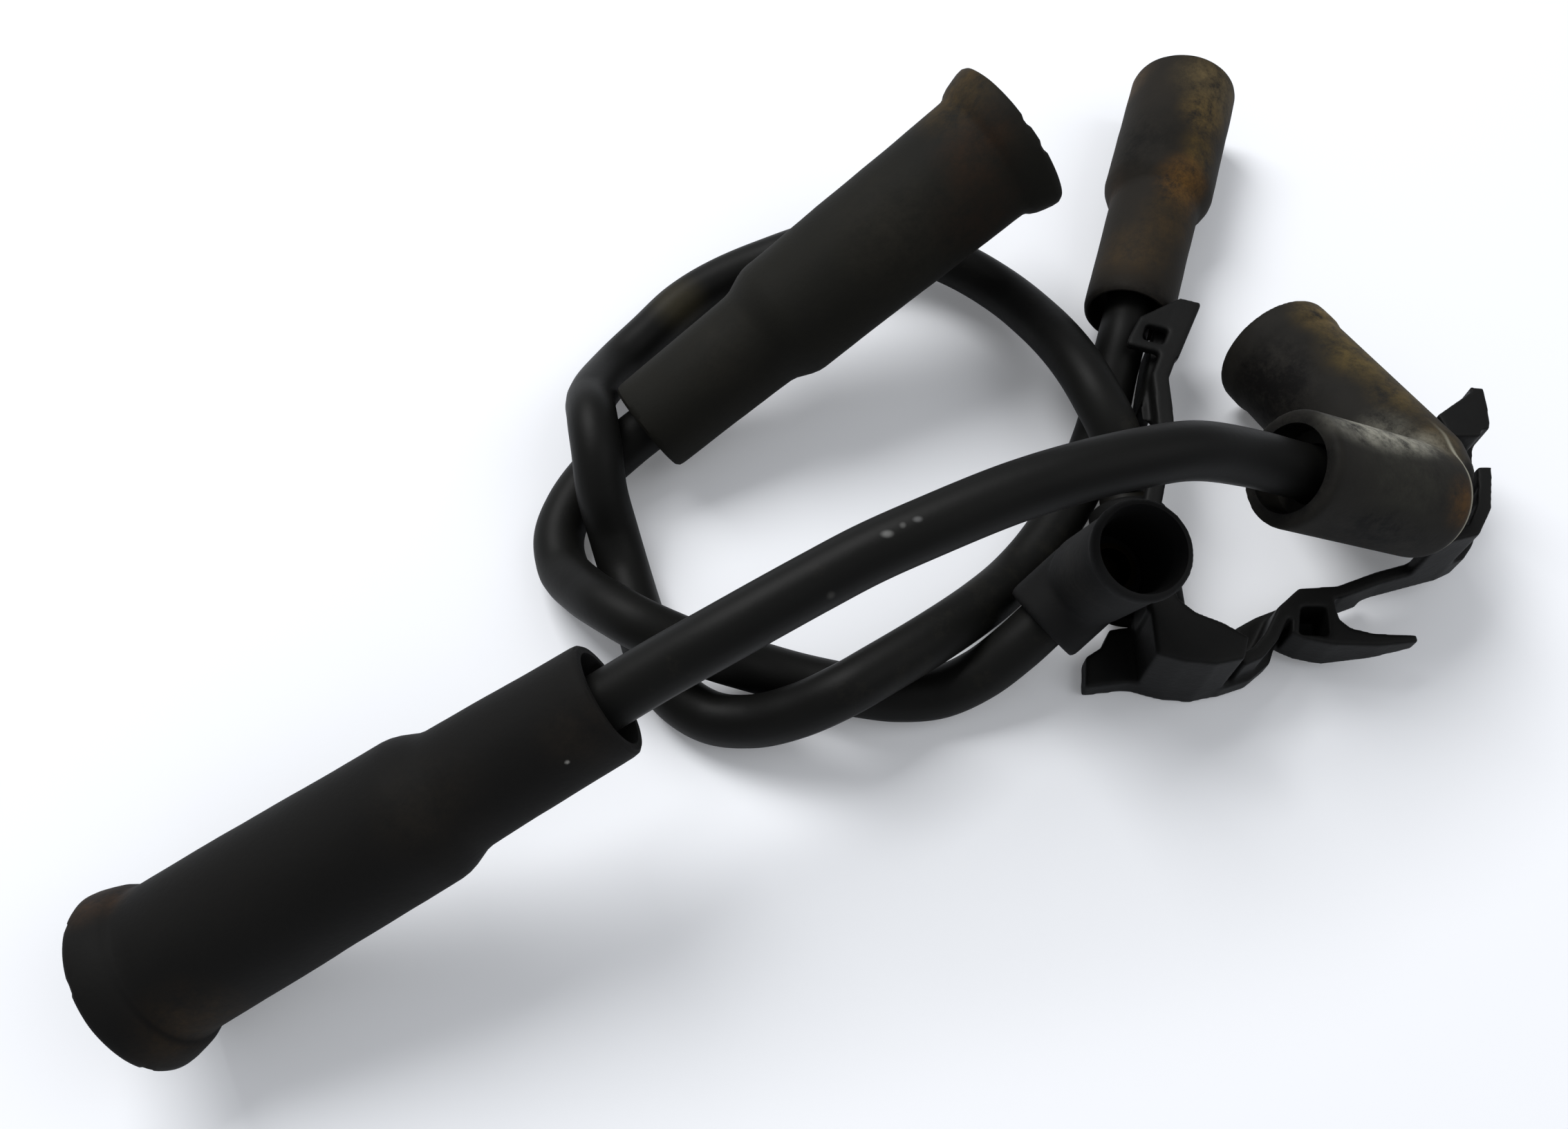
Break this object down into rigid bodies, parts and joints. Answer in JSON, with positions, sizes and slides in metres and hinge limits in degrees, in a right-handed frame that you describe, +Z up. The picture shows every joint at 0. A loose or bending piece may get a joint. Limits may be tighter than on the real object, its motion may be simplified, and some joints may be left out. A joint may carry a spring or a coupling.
{
  "type": "ignition lead set",
  "caption": "Three ignition leads with rubber boots, joined by a plastic wire holder.",
  "frame": {"origin": "on the surface that the set lies on, below the middle of the boots and the holder", "axes": "+X from the front plug boot towards the elbow coil boot, +Z up from the surface"},
  "size_m": [0.1752, 0.1518, 0.0439],
  "materials": {
    "rubber": "matte",
    "cable_rubber": "satin",
    "plastic": "satin",
    "brass": "satin",
    "steel": "polished"
  },
  "bodies": {
    "root": {"plug_boot_front": "rubber", "plug_boot_rear": "rubber", "plug_terminal_front": "brass", "plug_terminal_rear": "brass", "snap_ring_front": "steel", "snap_ring_rear": "steel", "coil_boot_straight": "rubber", "coil_terminal_straight": "brass", "coil_boot_small": "rubber", "coil_terminal_small": "brass", "coil_boot_elbow": "rubber", "coil_terminal_elbow": "brass", "coil_boot_small_elbow": "rubber", "coil_terminal_small_elbow": "brass", "lead_cable_arch": "cable_rubber", "lead_cable_inner": "cable_rubber", "lead_cable_outer": "cable_rubber", "wire_holder": "plastic"}
  },
  "joints": []
}
